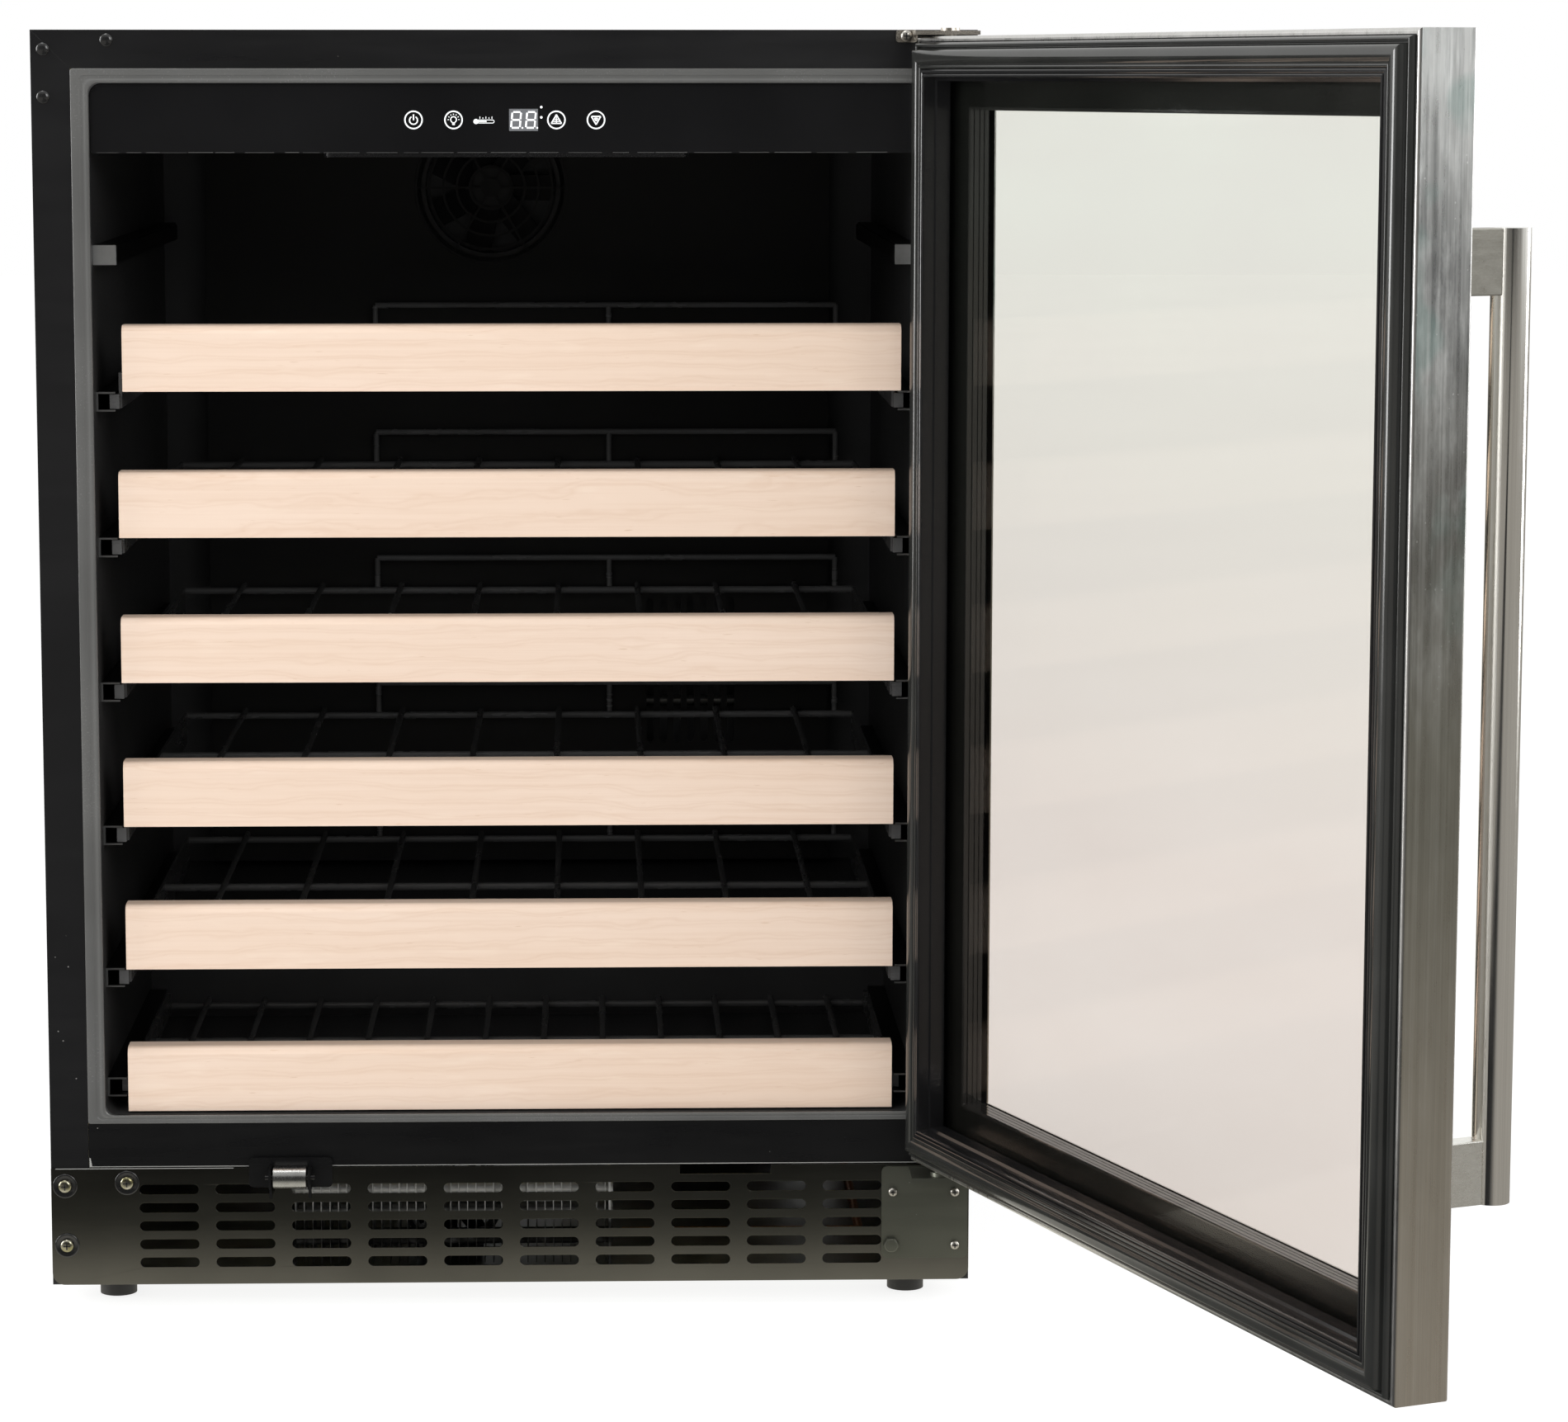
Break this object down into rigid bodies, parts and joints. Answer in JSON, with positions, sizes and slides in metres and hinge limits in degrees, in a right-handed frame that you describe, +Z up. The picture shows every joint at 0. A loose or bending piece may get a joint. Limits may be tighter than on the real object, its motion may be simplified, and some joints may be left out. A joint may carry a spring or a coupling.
{
  "type": "wine cooler",
  "caption": "Under-counter wine cooler with a hinged glazed steel door, sliding wire racks with wooden fronts, touch control fascia, kick grille and a front-venting cooling unit.",
  "frame": {"origin": "on the floor, under the middle of the cabinet body's width and depth", "axes": "+X to the right as seen from the front, -Y out of the front towards the user, +Z up; the door stands open at rest"},
  "size_m": [0.8408, 1.0928, 0.823],
  "materials": {
    "shell_steel": "black semi-gloss enamel, fine scuffs",
    "liner_plastic": "black vacuum-formed plastic with a satin grey lip",
    "foam": null,
    "zinc_sheet": "galvanised sheet",
    "rear_sheet": "dark grey enamel",
    "grille_steel": "dark metallic enamel",
    "bright_screw": "zinc plated",
    "plug_plastic": "black",
    "fascia": "high-gloss black with white printed icons",
    "display": "grey window over white segments",
    "circuit_board": "green solder mask",
    "lamp_lens": "smoked, unlit",
    "duct_plastic": "satin black",
    "coil_metal": "plain fins and tube",
    "fan_frame": "black",
    "fan_blade": "dark grey moulding",
    "nickel": "nickel plated",
    "hinge_steel": "grey-green enamel",
    "roller_steel": "black enamel",
    "roller_plastic": "translucent nylon",
    "compressor_paint": "gloss black",
    "rubber": "black",
    "copper": "drawn copper tube",
    "rail_zinc": "zinc plated",
    "foot_plastic": "black",
    "door_steel": "vertically brushed stainless",
    "door_foam": "dark filler",
    "door_plastic": "black extrusion",
    "gasket": "dark grey ribbed magnetic gasket",
    "pane": "clear, faint grey-green tint, black edge print",
    "spacer": "bright spacer bar",
    "handle_steel": "brushed stainless",
    "bush_plastic": "white acetal",
    "beech": "pale clear-lacquered wood, fine grain",
    "rack_wire": "black dip coat"
  },
  "bodies": {
    "cabinet": {"outer_shell": "shell_steel", "cross_rail": "shell_steel", "inner_liner": "liner_plastic", "foam_insulation": "foam", "rear_panel": "rear_sheet", "machine_cover": "rear_sheet", "base_pan": "zinc_sheet", "kick_grille": "grille_steel", "cover_screws": "bright_screw", "front_plugs": "plug_plastic", "control_housing": "fascia", "display_window": "display", "control_board": "circuit_board", "interior_light": "lamp_lens", "duct_cover": "duct_plastic", "fan_guard": "duct_plastic", "evaporator": "coil_metal", "evap_fan_frame": "fan_frame", "top_hinge": "nickel", "bottom_hinge": "hinge_steel", "hinge_screws": "bright_screw", "roller_bracket": "roller_steel", "compressor": "compressor_paint", "compressor_mounts": "rubber", "condenser": "coil_metal", "condenser_fan_frame": "fan_frame", "pipework": "copper", "cord_gland": "rubber", "fixed_rails": "rail_zinc", "levelling_feet": "foot_plastic"},
    "door": {"door_frame": "door_steel", "door_core": "door_foam", "door_liner": "door_plastic", "door_gasket": "gasket", "glass_outer": "pane", "glass_spacer": "spacer", "glass_inner": "pane", "handle_bar": "handle_steel", "handle_posts": "handle_steel", "handle_screws": "bright_screw", "door_bushings": "bush_plastic"},
    "evap_fan": {"evap_fan": "fan_blade"},
    "condenser_fan": {"condenser_fan": "fan_blade"},
    "support_roller": {"support_roller": "roller_plastic"},
    "shelf_1": {"shelf_front_1": "beech", "shelf_rack_1": "rack_wire"},
    "shelf_2": {"shelf_front_2": "beech", "shelf_rack_2": "rack_wire"},
    "shelf_3": {"shelf_front_3": "beech", "shelf_rack_3": "rack_wire"},
    "shelf_4": {"shelf_front_4": "beech", "shelf_rack_4": "rack_wire"},
    "shelf_5": {"shelf_front_5": "beech", "shelf_rack_5": "rack_wire"},
    "shelf_6": {"shelf_front_6": "beech", "shelf_rack_6": "rack_wire"}
  },
  "joints": [
    {"name": "door_hinge", "type": "hinge", "parent": "cabinet", "child": "door", "pos_m": [0.27833, -0.28858, 0.4576], "axis": [0, 0, 1], "range_deg": [-111.3, 3]},
    {"name": "shelf_slide_1", "type": "slide", "parent": "cabinet", "child": "shelf_1", "axis": [0, -1, 0], "range_m": [0, 0.3]},
    {"name": "shelf_slide_2", "type": "slide", "parent": "cabinet", "child": "shelf_2", "axis": [0, -1, 0], "range_m": [0, 0.3]},
    {"name": "shelf_slide_3", "type": "slide", "parent": "cabinet", "child": "shelf_3", "axis": [0, -1, 0], "range_m": [0, 0.3]},
    {"name": "shelf_slide_4", "type": "slide", "parent": "cabinet", "child": "shelf_4", "axis": [0, -1, 0], "range_m": [0, 0.3]},
    {"name": "shelf_slide_5", "type": "slide", "parent": "cabinet", "child": "shelf_5", "axis": [0, -1, 0], "range_m": [0, 0.3]},
    {"name": "shelf_slide_6", "type": "slide", "parent": "cabinet", "child": "shelf_6", "axis": [0, -1, 0], "range_m": [0, 0.2]},
    {"name": "evap_fan_spin", "type": "hinge", "parent": "cabinet", "child": "evap_fan", "pos_m": [-0.0195, 0.209, 0.712], "axis": [0, 1, 0], "continuous": true},
    {"name": "condenser_fan_spin", "type": "hinge", "parent": "cabinet", "child": "condenser_fan", "pos_m": [-0.04, -0.192, 0.053], "axis": [0, 1, 0], "continuous": true},
    {"name": "roller_spin", "type": "hinge", "parent": "cabinet", "child": "support_roller", "pos_m": [-0.1425, -0.2755, 0.088], "axis": [1, 0, 0], "continuous": true}
  ]
}
